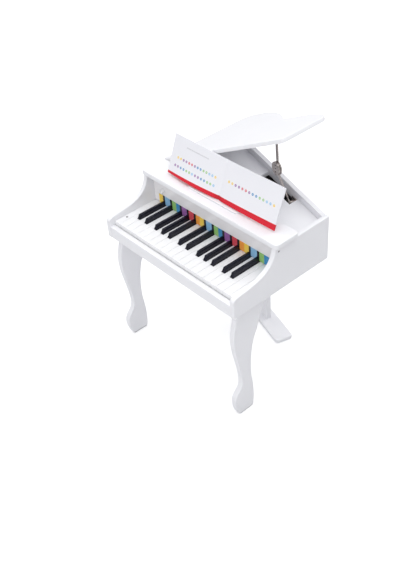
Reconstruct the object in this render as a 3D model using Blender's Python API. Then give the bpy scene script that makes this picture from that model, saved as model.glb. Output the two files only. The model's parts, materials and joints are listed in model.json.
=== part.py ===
"""A child's grand piano in white painted board: 18 white and 12 black keys, a raised lid on a
folding stay, two curved front legs and one post on a foot plate.

Units are metres. +X is the player's right, +Y runs from the keyboard to the tail, +Z is up.
The floor is z = 0, and the origin is under the middle of the whole piano. Depths are written
from the front of the side panels, and the empty "piano" carries them back by half the depth.
"""

import math

import bmesh
import bpy
from mathutils import Vector

# ---- Driving dimensions -------------------------------------------------------------------
DEPTH = 0.522  # panel fronts to the tail of the lid
CASE_WIDTH = 0.480  # over the two side panels
BOARD = 0.013  # thickness of the case boards
GAP = 0.0003  # clearance between pieces that touch
CASE_BOTTOM = 0.343
CASE_TOP = 0.470
DECK_TOP = 0.453
RIGHT_SIDE_LENGTH = 0.3205
WALL_ANGLE = math.radians(17.5)  # the back wall runs back towards the bass side

TOP_BOARD_HALF_WIDTH = 0.2461
TOP_BOARD_FRONT = 0.1335
TOP_BOARD_BACK = 0.2100
TOP_BOARD_THICKNESS = 0.014

WHITE_KEYS = 18
KEY_PITCH = 0.023
KEY_SLIT = 0.0008
KEY_TOP = 0.388
KEY_HEIGHT = 0.014
KEY_FRONT = 0.0185
KEY_BACK = 0.196
BLACK_WIDTH = 0.0105
BLACK_TOP_WIDTH = 0.0082
BLACK_FRONT = 0.066
BLACK_RISE = 0.0115
PIVOT_Y = 0.190
PIVOT_Z = 0.379
PIVOT_RADIUS = 0.002
OCTAVE_BLACKS = {0: -0.003, 1: 0.0027, 3: -0.004, 4: 0.0, 5: 0.0037}  # key to the left: shift

RAIL_FRONT = 0.0013
RAIL_BACK = 0.0133
RAIL_TOP = 0.377
BASE_TOP = 0.349  # upper face of the bottom board
LIP_BACK = 0.0172  # the key frame's lip fills the space behind the rail
LIP_TOP = 0.3758
FASCIA_FRONT = 0.156
FASCIA_THICKNESS = 0.012
KNOB = (-0.188, 0.431)  # across, height
SPEAKER = (-0.130, 0.300)
BATTERY = (0.130, 0.240)
BATTERY_NECK = (0.070, 0.058)

LEG_THICKNESS = 0.016
FOOT_LENGTH = 0.254
FOOT_WIDTH = 0.052
FOOT_HEIGHT = 0.012
POST_WIDTH = 0.064
POST_THICKNESS = 0.015
POST_Y = 0.330

LID_OPEN = math.radians(27.0)
LID_FRONT = 0.212
LID_RIGHT = 0.2475
LID_BOTTOM = 0.4725
LID_THICKNESS = 0.010
HINGE_X = -0.2426
HINGE_Z = 0.47125
HINGE_START = 0.225
HINGE_END = 0.455
HINGE_LEAF = 0.0008
KNUCKLES = 10
KNUCKLE_RADIUS = 0.0022
PIN_RADIUS = 0.0009
RUNNING_FIT = 0.0001  # radial clearance of a pin in its hole

SLOT_LEFT = -0.0265
SLOT_RIGHT = 0.1195
SLOT_WIDTH = 0.0312  # measured along Y
STAY_PLANE = 0.345  # distance of the arms' plane from the origin corner, along the wall normal
STAY_FOOT = (-0.0015, 0.4395)  # along the wall, height
STAY_HUB = (-0.0668, 0.5065)
STAY_HEAD = (-0.0742, 0.6045)
HUB_RADIUS = 0.0183
STAY_PIN = 0.0021
LID_PIN = 0.0014

REST_TOP = 0.4878  # upper face of the music rest's strip
BOOK_LEAN = math.radians(22)
BOOK_BACK = 0.1706  # depth of the book's back at its lower edge
BOOK_HEIGHT = 0.1045

INNER = CASE_WIDTH / 2 - BOARD
FIT = INNER - GAP
KEYS_HALF = WHITE_KEYS * KEY_PITCH / 2
WALL_RUN = math.tan(WALL_ANGLE)
WALL_DEPTH = BOARD / math.cos(WALL_ANGLE)
WALL_DIRECTION = Vector((math.cos(WALL_ANGLE), -math.sin(WALL_ANGLE), 0))
WALL_NORMAL = Vector((math.sin(WALL_ANGLE), math.cos(WALL_ANGLE), 0))

WHITE = ("white_paint", (0.83, 0.83, 0.85), 0.35, 0.0)
IVORY = ("white_plastic", (0.86, 0.86, 0.87), 0.25, 0.0)
EBONY = ("black_plastic", (0.012, 0.013, 0.022), 0.18, 0.0)
METAL = ("nickel_plate", (0.62, 0.60, 0.58), 0.28, 1.0)
PRINT = ("printed_strip", (0.85, 0.70, 0.20), 0.5, 0.0)
PAPER = ("paper", (0.88, 0.88, 0.91), 0.6, 0.0)
RUBBER = ("grey_rubber", (0.30, 0.30, 0.31), 0.8, 0.0)
CIRCUIT = ("green_board", (0.03, 0.16, 0.08), 0.5, 0.0)
DARK = ("dark_plastic", (0.05, 0.05, 0.055), 0.5, 0.0)


# ---- Helpers ------------------------------------------------------------------------------
def clear_scene():
    for obj in list(bpy.data.objects):
        bpy.data.objects.remove(obj, do_unlink=True)


def material(finish):
    name, colour, roughness, metallic = finish
    found = bpy.data.materials.get(name)
    if found:
        return found
    made = bpy.data.materials.new(name)
    made.use_nodes = True
    shader = made.node_tree.nodes["Principled BSDF"]
    shader.inputs["Base Color"].default_value = (*colour, 1)
    shader.inputs["Roughness"].default_value = roughness
    shader.inputs["Metallic"].default_value = metallic
    return made


def empty(name, location, parent=None, rotation=(0, 0, 0)):
    made = bpy.data.objects.new(name, None)
    bpy.context.collection.objects.link(made)
    made.location = location
    made.rotation_euler = rotation
    made.parent = parent
    return made


def add_object(name, bm, finish, parent, location=(0, 0, 0), rotation=(0, 0, 0), smooth=False):
    """Turns a bmesh into a named object whose faces point outwards."""
    bmesh.ops.recalc_face_normals(bm, faces=bm.faces)
    mesh = bpy.data.meshes.new(name)
    bm.to_mesh(mesh)
    bm.free()
    mesh.materials.append(material(finish))
    if smooth:
        mesh.shade_smooth()
        mesh.set_sharp_from_angle(angle=math.radians(35))
    made = bpy.data.objects.new(name, mesh)
    bpy.context.collection.objects.link(made)
    made.location = location
    made.rotation_euler = rotation
    made.parent = parent
    return made


def prism(bm, outline, axis, start, end):
    """Adds a closed outline, given in the two axes other than axis, extruded from start to end."""
    order = {"X": (2, 0, 1), "Y": (0, 2, 1), "Z": (0, 1, 2)}[axis]

    def corner(point, along):
        values = (point[0], point[1], along)
        return bm.verts.new([values[i] for i in order])

    low = [corner(point, start) for point in outline]
    high = [corner(point, end) for point in outline]
    bm.faces.new(low)
    bm.faces.new(list(reversed(high)))
    for i in range(len(outline)):
        j = (i + 1) % len(outline)
        bm.faces.new((low[i], high[i], high[j], low[j]))


def box(bm, low, high):
    outline = [(low[0], low[1]), (high[0], low[1]), (high[0], high[1]), (low[0], high[1])]
    prism(bm, outline, "Z", low[2], high[2])


def round_bar(bm, centre, radius, axis, start, end, segments=16):
    ring = [2 * math.pi * (i + 0.5) / segments for i in range(segments)]
    outline = [(centre[0] + radius * math.cos(a), centre[1] + radius * math.sin(a)) for a in ring]
    prism(bm, outline, axis, start, end)


def board(name, outline, axis, start, end, finish=WHITE, parent=None, **place):
    bm = bmesh.new()
    prism(bm, outline, axis, start, end)
    return add_object(name, bm, finish, parent, **place)


def tool(name, bm, parent, **place):
    """A helper solid for a Boolean, which is not part of the piano."""
    made = add_object(name, bm, WHITE, parent, **place)
    made.hide_render = True
    made.display_type = "WIRE"
    return made


def boolean(target, other, operation):
    change = target.modifiers.new(f"{operation.lower()}_{other.name}", "BOOLEAN")
    change.operation = operation
    change.object = other


def bezier(start, first, second, end, steps):
    """Points of a cubic curve, without its end point."""
    points = []
    for i in range(steps):
        t = i / steps
        weights = ((1 - t) ** 3, 3 * t * (1 - t) ** 2, 3 * t * t * (1 - t), t**3)
        corners = (start, first, second, end)
        points.append(tuple(sum(w * c[k] for w, c in zip(weights, corners)) for k in (0, 1)))
    return points


def corner_arc(centre, radius, first_deg, last_deg, steps=5):
    angles = [math.radians(first_deg + (last_deg - first_deg) * i / steps) for i in range(steps + 1)]
    return [(centre[0] + radius * math.cos(a), centre[1] + radius * math.sin(a)) for a in angles]


def rounded_rectangle(half_width, front, back, radius):
    """Corners run anticlockwise from the front left one."""
    inner_x = half_width - radius
    outline = corner_arc((-inner_x, front + radius), radius, 180, 270)
    outline += corner_arc((inner_x, front + radius), radius, 270, 360)
    outline += corner_arc((inner_x, back - radius), radius, 0, 90)
    outline += corner_arc((-inner_x, back - radius), radius, 90, 180)
    return outline


def wall_outer(x):
    """Depth of the back wall's outer face at x."""
    return RIGHT_SIDE_LENGTH + (INNER - x) * WALL_RUN


def wall_inner(x):
    return wall_outer(x) - WALL_DEPTH


def on_stay_plane(along, offset=0.0):
    """A place (x, y) at a distance along the wall, on the stay's plane or offset behind it."""
    point = WALL_DIRECTION * along + WALL_NORMAL * (STAY_PLANE + offset)
    return point.x, point.y


# ---- Case ---------------------------------------------------------------------------------
def cheek_outline(length):
    """Side panel seen from the side: low at the keys, then swept up to the top board."""
    outline = [(length, CASE_BOTTOM), (length, CASE_TOP)]
    top = (0.136, CASE_TOP)
    step = (0.040, 0.405)
    sweep = bezier(top, (0.130, 0.424), (0.095, 0.410), step, 10)
    nose = bezier(step, (0.018, 0.4035), (0.004, 0.402), (0, 0.394), 6)
    return outline + sweep + nose + [(0, 0.394), (0, CASE_BOTTOM)]


def side_panels(piano):
    left_length = wall_outer(-INNER)
    half = CASE_WIDTH / 2
    board("side_panel_right", cheek_outline(RIGHT_SIDE_LENGTH), "X", INNER, half, parent=piano)
    board("side_panel_left", cheek_outline(left_length), "X", -half, -INNER, parent=piano)


def back_wall(piano):
    outline = [(FIT, wall_inner(FIT)), (FIT, wall_outer(FIT))]
    outline += [(-FIT, wall_outer(-FIT)), (-FIT, wall_inner(-FIT))]
    board("back_wall", outline, "Z", CASE_BOTTOM, CASE_TOP, parent=piano)


def bottom_board(piano):
    """Thin base with the sound holes under the speaker and the opening for the batteries."""
    front = RAIL_BACK + GAP
    outline = [(-FIT, front), (FIT, front), (FIT, wall_inner(FIT) - GAP)]
    outline += [(-FIT, wall_inner(-FIT) - GAP)]
    base = board("bottom_board", outline, "Z", CASE_BOTTOM, BASE_TOP, parent=piano)
    below, above = CASE_BOTTOM - 0.005, BASE_TOP + 0.005
    for i in range(7):
        turn = math.tau * i / 6
        spread = 0.014 if i < 6 else 0.0
        centre = (SPEAKER[0] + spread * math.cos(turn), SPEAKER[1] + spread * math.sin(turn))
        bm = bmesh.new()
        round_bar(bm, centre, 0.0030, "Z", below, above, 12)
        boolean(base, tool(f"sound_hole_{i}", bm, piano), "DIFFERENCE")
    bm = bmesh.new()
    half_x, half_y = BATTERY_NECK[0] / 2 + GAP * 2, BATTERY_NECK[1] / 2 + GAP * 2
    low = (BATTERY[0] - half_x, BATTERY[1] - half_y, below)
    box(bm, low, (BATTERY[0] + half_x, BATTERY[1] + half_y, above))
    boolean(base, tool("battery_opening", bm, piano), "DIFFERENCE")


def sound_deck(piano):
    """Sunken deck under the lid, cut away along the back wall for the stay, with a batten that
    closes the step up to the top board."""
    front = FASCIA_FRONT + FASCIA_THICKNESS + GAP

    def slot_front(x):
        return wall_inner(x) - SLOT_WIDTH

    outline = [(-FIT, front), (FIT, front), (FIT, wall_inner(FIT) - GAP)]
    outline += [(SLOT_RIGHT, wall_inner(SLOT_RIGHT) - GAP), (SLOT_RIGHT, slot_front(SLOT_RIGHT))]
    outline += [(SLOT_LEFT, slot_front(SLOT_LEFT)), (SLOT_LEFT, wall_inner(SLOT_LEFT) - GAP)]
    outline += [(-FIT, wall_inner(-FIT) - GAP)]
    deck = board("sound_deck", outline, "Z", DECK_TOP - 0.012, DECK_TOP, parent=piano)
    bm = bmesh.new()
    box(bm, (-FIT, TOP_BOARD_BACK - 0.014, DECK_TOP - 0.002), (FIT, TOP_BOARD_BACK - 0.002, CASE_TOP))
    boolean(deck, tool("deck_batten", bm, piano), "UNION")


def top_board(piano):
    outline = rounded_rectangle(TOP_BOARD_HALF_WIDTH, TOP_BOARD_FRONT, TOP_BOARD_BACK, 0.010)
    bottom = CASE_TOP + GAP
    board("top_board", outline, "Z", bottom, bottom + TOP_BOARD_THICKNESS, parent=piano)


def front_rail(piano):
    bm = bmesh.new()
    box(bm, (-FIT, RAIL_FRONT, CASE_BOTTOM), (FIT, RAIL_BACK, RAIL_TOP))
    add_object("front_rail", bm, WHITE, piano)


def fascia_board(piano):
    """Upright board behind the keys, with the hole for the volume shaft."""
    bm = bmesh.new()
    box(bm, (-FIT, FASCIA_FRONT, 0.3895), (FIT, FASCIA_FRONT + FASCIA_THICKNESS, CASE_TOP))
    fascia = add_object("fascia_board", bm, WHITE, piano)
    bm = bmesh.new()
    round_bar(bm, KNOB, 0.0026, "Y", FASCIA_FRONT - 0.005, 0.175, 12)
    boolean(fascia, tool("knob_hole", bm, piano), "DIFFERENCE")


def label_strip(piano):
    bm = bmesh.new()
    box(bm, (-KEYS_HALF, 0.1545, 0.3893), (KEYS_HALF, FASCIA_FRONT - GAP, 0.416))
    add_object("label_strip", bm, PRINT, piano)


def volume_knob(piano):
    """Turned knob on a shaft that runs back through the fascia."""
    bm = bmesh.new()
    round_bar(bm, (0, 0), 0.0065, "Y", -0.0100, -0.0005, 24)
    knob = add_object("volume_knob", bm, IVORY, piano, (KNOB[0], FASCIA_FRONT, KNOB[1]), smooth=True)
    bm = bmesh.new()
    round_bar(bm, (0, 0), 0.0025, "Y", -0.004, 0.020, 12)
    shaft = tool("knob_shaft", bm, piano, location=(KNOB[0], FASCIA_FRONT, KNOB[1]))
    boolean(knob, shaft, "UNION")


# ---- Keyboard -----------------------------------------------------------------------------
def black_centres():
    """White key to the left of each black key, and the black key's centre."""
    found = {}
    for key in range(WHITE_KEYS - 1):
        shift = OCTAVE_BLACKS.get(key % 7)
        if shift is not None:
            found[key] = -KEYS_HALF + (key + 1) * KEY_PITCH + shift
    return found


def key_bore(piano):
    bm = bmesh.new()
    round_bar(bm, (PIVOT_Y, PIVOT_Z), PIVOT_RADIUS + RUNNING_FIT, "X", -0.25, 0.25, 12)
    return tool("key_bore", bm, piano)


def white_key(number, blacks, bore, piano):
    """One white key, notched beside each black key. Its origin is on the pivot rod."""
    left = -KEYS_HALF + number * KEY_PITCH + KEY_SLIT / 2
    right = left + KEY_PITCH - KEY_SLIT
    notch = BLACK_WIDTH / 2 + 0.001
    tail_right = blacks[number] - notch if number in blacks else right
    tail_left = blacks[number - 1] + notch if number - 1 in blacks else left
    shoulder = BLACK_FRONT - 0.001
    outline = [(left, KEY_FRONT), (right, KEY_FRONT)]
    if tail_right < right:
        outline += [(right, shoulder), (tail_right, shoulder)]
    outline += [(tail_right, KEY_BACK), (tail_left, KEY_BACK)]
    if tail_left > left:
        outline += [(tail_left, shoulder), (left, shoulder)]
    middle = (left + right) / 2
    local = [(x - middle, y - PIVOT_Y) for x, y in outline]
    bottom = KEY_TOP - KEY_HEIGHT - PIVOT_Z
    place = {"location": (middle, PIVOT_Y, PIVOT_Z)}
    name = f"white_key_{number + 1:02d}"
    key = board(name, local, "Z", bottom, KEY_TOP - PIVOT_Z, IVORY, piano, **place)
    boolean(key, bore, "DIFFERENCE")


def black_key(number, centre, bore, piano):
    """One black key: a low tail to the pivot rod, and a raised cap that narrows upwards."""
    low, level, top = KEY_TOP - KEY_HEIGHT, KEY_TOP - 0.0005, KEY_TOP + BLACK_RISE
    cap_back = 0.1537
    side = [(BLACK_FRONT, low), (BLACK_FRONT, KEY_TOP + 0.002), (BLACK_FRONT + 0.005, top)]
    side += [(cap_back, top), (cap_back, level), (KEY_BACK, level), (KEY_BACK, low)]
    local = [(y - PIVOT_Y, z - PIVOT_Z) for y, z in side]
    bm = bmesh.new()
    prism(bm, local, "X", -BLACK_WIDTH / 2, BLACK_WIDTH / 2)
    for vert in bm.verts:
        if vert.co.z > top - PIVOT_Z - 1e-5:
            vert.co.x *= BLACK_TOP_WIDTH / BLACK_WIDTH
    key = add_object(f"black_key_{number:02d}", bm, EBONY, piano, (centre, PIVOT_Y, PIVOT_Z))
    boolean(key, bore, "DIFFERENCE")


def key_frame(bore, piano):
    """Moulded tray: a base under the keys, a lip behind the rail and an end block on each side."""
    bm = bmesh.new()
    box(bm, (-FIT, RAIL_BACK + GAP, BASE_TOP + GAP), (FIT, 0.202, BASE_TOP + 0.004))
    frame = add_object("key_frame", bm, IVORY, piano)
    bm = bmesh.new()
    box(bm, (-FIT, RAIL_BACK + GAP, BASE_TOP + 0.002), (FIT, LIP_BACK, LIP_TOP))
    boolean(frame, tool("front_lip", bm, piano), "UNION")
    for side, low, high in (("left", -FIT, -KEYS_HALF - GAP), ("right", KEYS_HALF + GAP, FIT)):
        bm = bmesh.new()
        box(bm, (low, KEY_FRONT, BASE_TOP + 0.002), (high, 0.202, KEY_TOP))
        boolean(frame, tool(f"end_block_{side}", bm, piano), "UNION")
    boolean(frame, bore, "DIFFERENCE")


def key_parts(piano):
    bore = key_bore(piano)
    blacks = black_centres()
    for number in range(WHITE_KEYS):
        white_key(number, blacks, bore, piano)
    for number, key in enumerate(sorted(blacks)):
        black_key(number + 1, blacks[key], bore, piano)
    key_frame(bore, piano)
    bm = bmesh.new()
    round_bar(bm, (PIVOT_Y, PIVOT_Z), PIVOT_RADIUS, "X", -FIT + 0.001, FIT - 0.001, 12)
    add_object("key_pivot_rod", bm, METAL, piano, smooth=True)
    bm = bmesh.new()
    strip_bottom = BASE_TOP + 0.004 + GAP
    box(bm, (-KEYS_HALF + 0.004, 0.104, strip_bottom), (KEYS_HALF - 0.004, 0.122, 0.3685))
    add_object("key_contact_strip", bm, RUBBER, piano)


# ---- Parts inside the case ----------------------------------------------------------------
def circuit_board(piano):
    """Printed board on four short feet."""
    low, high = (-0.075, 0.210), (0.075, 0.255)
    level = BASE_TOP + 0.006
    bm = bmesh.new()
    box(bm, (*low, level), (*high, level + 0.0016))
    card = add_object("circuit_board", bm, CIRCUIT, piano)
    for i, (x, y) in enumerate([(low[0], low[1]), (high[0], low[1]), (low[0], high[1]), high]):
        inward_x = x - math.copysign(0.006, x)
        inward_y = y + (0.006 if y == low[1] else -0.006)
        bm = bmesh.new()
        round_bar(bm, (inward_x, inward_y), 0.0025, "Z", BASE_TOP + GAP, level + 0.0008, 8)
        boolean(card, tool(f"card_foot_{i}", bm, piano), "UNION")


def speaker(piano):
    """Speaker turned down over the sound holes: flange, cone basket and magnet."""
    profile = [(0.0, 0.026), (0.016, 0.026), (0.016, 0.016), (0.030, 0.004), (0.034, 0.003)]
    profile += [(0.034, GAP)]
    bm = bmesh.new()
    verts = [bm.verts.new((radius, 0, height)) for radius, height in profile]
    verts.append(bm.verts.new((0, 0, GAP)))
    edges = [bm.edges.new((verts[i], verts[i + 1])) for i in range(len(verts) - 1)]
    turn = {"cent": (0, 0, 0), "axis": (0, 0, 1), "angle": math.tau, "steps": 24}
    bmesh.ops.spin(bm, geom=verts + edges, use_duplicate=False, **turn)
    bmesh.ops.remove_doubles(bm, verts=bm.verts, dist=1e-6)
    add_object("speaker", bm, DARK, piano, (*SPEAKER, BASE_TOP), smooth=True)


def battery_box(piano):
    """Box for the batteries, with a neck down through the base so that it opens from below."""
    bm = bmesh.new()
    x, y = BATTERY
    box(bm, (x - 0.040, y - 0.034, BASE_TOP + GAP), (x + 0.040, y + 0.034, BASE_TOP + 0.020))
    holder = add_object("battery_box", bm, DARK, piano)
    bm = bmesh.new()
    half_x, half_y = BATTERY_NECK[0] / 2, BATTERY_NECK[1] / 2
    low = (x - half_x, y - half_y, CASE_BOTTOM + 0.0002)
    box(bm, low, (x + half_x, y + half_y, BASE_TOP + 0.002))
    boolean(holder, tool("battery_neck", bm, piano), "UNION")


# ---- Legs ---------------------------------------------------------------------------------
def leg_outline():
    """Curved leg seen from the side: a wide head, a slim ankle and a foot that swells forward."""
    top = CASE_BOTTOM - GAP
    front = bezier((0.024, top), (0.020, 0.318), (0.006, 0.290), (0.0075, 0.250), 6)
    front += bezier((0.0075, 0.250), (0.009, 0.205), (0.028, 0.150), (0.028, 0.108), 7)
    front += bezier((0.028, 0.108), (0.028, 0.078), (0.002, 0.080), (0.002, 0.050), 7)
    front += bezier((0.002, 0.050), (0.002, 0.028), (0.010, 0.012), (0.015, 0), 5)
    back = bezier((0.063, 0), (0.069, 0.030), (0.068, 0.070), (0.061, 0.112), 6)
    back += bezier((0.061, 0.112), (0.058, 0.160), (0.064, 0.212), (0.078, 0.241), 6)
    back += bezier((0.078, 0.241), (0.092, 0.262), (0.090, 0.300), (0.125, top), 8)
    return front + [(0.015, 0)] + back + [(0.125, top)]


def legs(piano):
    board("front_leg_right", leg_outline(), "X", INNER - LEG_THICKNESS, INNER, parent=piano)
    board("front_leg_left", leg_outline(), "X", -INNER, LEG_THICKNESS - INNER, parent=piano)
    turn = (0, 0, -WALL_ANGLE)
    half = POST_WIDTH / 2
    post = [(-half, -POST_THICKNESS / 2), (half, -POST_THICKNESS / 2)]
    post += [(half, POST_THICKNESS / 2), (-half, POST_THICKNESS / 2)]
    stand = {"parent": piano, "location": (0, POST_Y, 0), "rotation": turn}
    board("rear_post", post, "Z", FOOT_HEIGHT + GAP, CASE_BOTTOM - GAP, **stand)
    plate = rounded_rectangle(FOOT_LENGTH / 2, -FOOT_WIDTH / 2, FOOT_WIDTH / 2, 0.010)
    board("rear_foot", plate, "Z", 0, FOOT_HEIGHT, **stand)


# ---- Lid and its hinge --------------------------------------------------------------------
def lid_outline():
    """Straight front, right and left edges, and a bent side that curves in to a rounded tail."""
    left = -CASE_WIDTH / 2 + GAP
    tail = (-0.197, DEPTH)
    waist = (0.028, 0.4185)
    outline = [(left, LID_FRONT), (LID_RIGHT - 0.006, LID_FRONT), (LID_RIGHT, LID_FRONT + 0.006)]
    outline += bezier((LID_RIGHT, 0.338), (0.234, 0.382), (0.168, 0.395), (0.110, 0.398), 10)
    outline += bezier((0.110, 0.398), (0.075, 0.400), (0.052, 0.398), waist, 6)
    outline += bezier(waist, (-0.012, 0.456), (-0.105, DEPTH), tail, 12)
    outline += bezier(tail, (-0.224, DEPTH), (left, 0.506), (left, 0.481), 6)
    return outline + [(left, 0.481)]


def lid_parts(piano):
    """Everything that turns with the lid, drawn closed and raised by the empty on its hinge."""
    pivot = empty("lid_pivot", (HINGE_X, 0, HINGE_Z), piano, (0, -LID_OPEN, 0))
    outline = [(x - HINGE_X, y) for x, y in lid_outline()]
    bottom = LID_BOTTOM - HINGE_Z
    board("lid", outline, "Z", bottom, bottom + LID_THICKNESS, parent=pivot)
    hinge_leaf("lid_hinge_lid_leaf", 1, LID_BOTTOM - GAP - HINGE_LEAF - HINGE_Z, pivot)
    lid_bracket(pivot)


def hinge_leaf(name, first, level, pivot):
    """One leaf of the long hinge, with every second knuckle, drawn round its own pin."""
    bm = bmesh.new()
    inner_edge = -CASE_WIDTH / 2 - HINGE_X
    box(bm, (inner_edge, HINGE_START, level), (inner_edge + 0.011, HINGE_END, level + HINGE_LEAF))
    leaf = add_object(name, bm, METAL, pivot)
    pitch = (HINGE_END - HINGE_START) / KNUCKLES
    for i in range(first, KNUCKLES, 2):
        start, end = HINGE_START + i * pitch + GAP, HINGE_START + (i + 1) * pitch - GAP
        bm = bmesh.new()
        round_bar(bm, (0, 0), KNUCKLE_RADIUS, "Y", start, end, 12)
        boolean(leaf, tool(f"{name}_knuckle_{i}", bm, pivot), "UNION")
        bm = bmesh.new()
        box(bm, (0.0009, start, level), (inner_edge + 0.002, end, level + HINGE_LEAF))
        boolean(leaf, tool(f"{name}_tab_{i}", bm, pivot), "UNION")
    bm = bmesh.new()
    round_bar(bm, (0, 0), PIN_RADIUS + RUNNING_FIT, "Y", HINGE_START - 0.01, HINGE_END + 0.01, 12)
    boolean(leaf, tool(f"{name}_bore", bm, pivot), "DIFFERENCE")


def case_hinge(piano):
    pivot = empty("case_leaf_pivot", (HINGE_X, 0, HINGE_Z), piano)
    hinge_leaf("lid_hinge_case_leaf", 0, CASE_TOP + GAP - HINGE_Z, pivot)
    bm = bmesh.new()
    round_bar(bm, (0, 0), PIN_RADIUS, "Y", HINGE_START, HINGE_END, 12)
    add_object("lid_hinge_pin", bm, METAL, pivot, smooth=True)


# ---- Folding stay -------------------------------------------------------------------------
def arm_bar(bm, length, half_start, half_end, front, back):
    """Flat bar along +X with round ends, between two offsets in Y."""
    outline = corner_arc((0, 0), half_start, 90, 270, 8)
    outline += corner_arc((length, 0), half_end, -90, 90, 8)
    prism(bm, outline, "Y", front, back)


def stay_angle(start, end):
    return math.atan2(end[1] - start[1], end[0] - start[0])


def stay_place(point, target):
    """Location and rotation that lay a bar's +X from point towards target, on the stay plane."""
    x, y = on_stay_plane(point[0])
    turn = (0, -stay_angle(point, target), -WALL_ANGLE)
    return {"location": (x, y, point[1]), "rotation": turn}


def stay_arms(piano):
    """Lower arm with the round hub in front, and upper arm with its own disc behind it."""
    place = stay_place(STAY_FOOT, STAY_HUB)
    length = math.dist(STAY_FOOT, STAY_HUB)
    bm = bmesh.new()
    arm_bar(bm, length, 0.0058, 0.0052, -0.0035, -0.0010)
    lower = add_object("stay_lower_arm", bm, METAL, piano, **place)
    bm = bmesh.new()
    round_bar(bm, (length, 0), HUB_RADIUS, "Y", -0.0062, -0.0005, 32)
    boolean(lower, tool("hub_disc", bm, piano, **place), "UNION")
    bm = bmesh.new()
    round_bar(bm, (0, 0), STAY_PIN + RUNNING_FIT, "Y", -0.02, 0.02, 12)
    boolean(lower, tool("lower_eye", bm, piano, **place), "DIFFERENCE")

    place = stay_place(STAY_HEAD, STAY_HUB)
    length = math.dist(STAY_HEAD, STAY_HUB)
    bm = bmesh.new()
    arm_bar(bm, length, 0.0048, 0.0053, 0.0003, 0.0033)
    upper = add_object("stay_upper_arm", bm, METAL, piano, **place)
    bm = bmesh.new()
    round_bar(bm, (length, 0), HUB_RADIUS - 0.0005, "Y", 0.0001, 0.0048, 32)
    boolean(upper, tool("upper_disc", bm, piano, **place), "UNION")
    bm = bmesh.new()
    round_bar(bm, (0, 0), LID_PIN + RUNNING_FIT, "Y", -0.02, 0.02, 12)
    boolean(upper, tool("upper_eye", bm, piano, location=place["location"]), "DIFFERENCE")


def case_bracket(piano):
    """Plate on the inner face of the back wall, with a pin that runs through the lower arm."""
    wall = (wall_inner(0) * math.cos(WALL_ANGLE)) - STAY_PLANE
    x, y = on_stay_plane(STAY_FOOT[0])
    place = {"location": (x, y, STAY_FOOT[1]), "rotation": (0, 0, -WALL_ANGLE)}
    bm = bmesh.new()
    box(bm, (-0.014, wall - GAP - 0.002, -0.009), (0.010, wall - GAP, 0.009))
    plate = add_object("stay_case_bracket", bm, METAL, piano, **place)
    bm = bmesh.new()
    round_bar(bm, (0, 0), STAY_PIN, "Y", -0.0055, wall - 0.001, 12)
    boolean(plate, tool("case_pin", bm, piano, **place), "UNION")
    bm = bmesh.new()
    round_bar(bm, (0, 0), 0.0045, "Y", 0.0005, wall - 0.001, 16)
    boolean(plate, tool("case_boss", bm, piano, **place), "UNION")


def lid_bracket(pivot):
    """Plate under the lid with a lug and a pin, drawn closed, where the upper arm hangs."""
    head_x, head_y = on_stay_plane(STAY_HEAD[0])
    reach = math.hypot(head_x - HINGE_X, STAY_HEAD[1] - HINGE_Z)
    turn = math.atan2(STAY_HEAD[1] - HINGE_Z, head_x - HINGE_X) - LID_OPEN
    x, z = reach * math.cos(turn), reach * math.sin(turn)
    under = LID_BOTTOM - GAP - HINGE_Z
    lug = head_y - 0.0042
    bm = bmesh.new()
    box(bm, (x - 0.010, head_y - 0.010, under - 0.0016), (x + 0.010, head_y + 0.008, under))
    plate = add_object("stay_lid_bracket", bm, METAL, pivot)
    bm = bmesh.new()
    box(bm, (x - 0.0045, lug, z - 0.0040), (x + 0.0045, lug + 0.0020, under - 0.001))
    boolean(plate, tool("lid_lug", bm, pivot), "UNION")
    bm = bmesh.new()
    round_bar(bm, (x, z), LID_PIN, "Y", lug + 0.001, head_y + 0.0055, 12)
    boolean(plate, tool("lid_pin", bm, pivot), "UNION")


# ---- Music rest and book ------------------------------------------------------------------
def music_rest(piano):
    """Strip with round ends on the top board, and a small back plate that leans away."""
    level = REST_TOP - 0.003
    outline = rounded_rectangle(0.090, 0.158, 0.190, 0.010)
    rest = board("music_rest", outline, "Z", level, REST_TOP, parent=piano)
    slope = math.tan(BOOK_LEAN)
    low, high = -0.002, 0.076
    start = BOOK_BACK + 0.0008
    side = [(start + low * slope, REST_TOP + low), (start + 0.006 + low * slope, REST_TOP + low)]
    side += [(start + 0.006 + high * slope, REST_TOP + high)]
    side += [(start + high * slope, REST_TOP + high)]
    bm = bmesh.new()
    prism(bm, side, "X", -0.070, 0.070)
    boolean(rest, tool("rest_back", bm, piano), "UNION")


def song_book(piano):
    """Open song book that leans on the rest, a little higher at its outer edges."""
    half, thick = 0.190, 0.0042
    outline = [(-half, 0), (half, 0), (half, BOOK_HEIGHT), (0.012, BOOK_HEIGHT - 0.006)]
    outline += [(-0.012, BOOK_HEIGHT - 0.006), (-half, BOOK_HEIGHT)]
    bm = bmesh.new()
    prism(bm, outline, "Y", -thick, 0)
    place = {"location": (0.0148, BOOK_BACK, REST_TOP + GAP), "rotation": (-BOOK_LEAN, 0, 0)}
    add_object("song_book", bm, PAPER, piano, **place)


def build():
    clear_scene()
    piano = empty("piano", (0, -DEPTH / 2, 0))
    side_panels(piano)
    back_wall(piano)
    bottom_board(piano)
    sound_deck(piano)
    top_board(piano)
    front_rail(piano)
    fascia_board(piano)
    label_strip(piano)
    volume_knob(piano)
    key_parts(piano)
    circuit_board(piano)
    speaker(piano)
    battery_box(piano)
    legs(piano)
    case_hinge(piano)
    lid_parts(piano)
    case_bracket(piano)
    stay_arms(piano)
    music_rest(piano)
    song_book(piano)


build()
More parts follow.
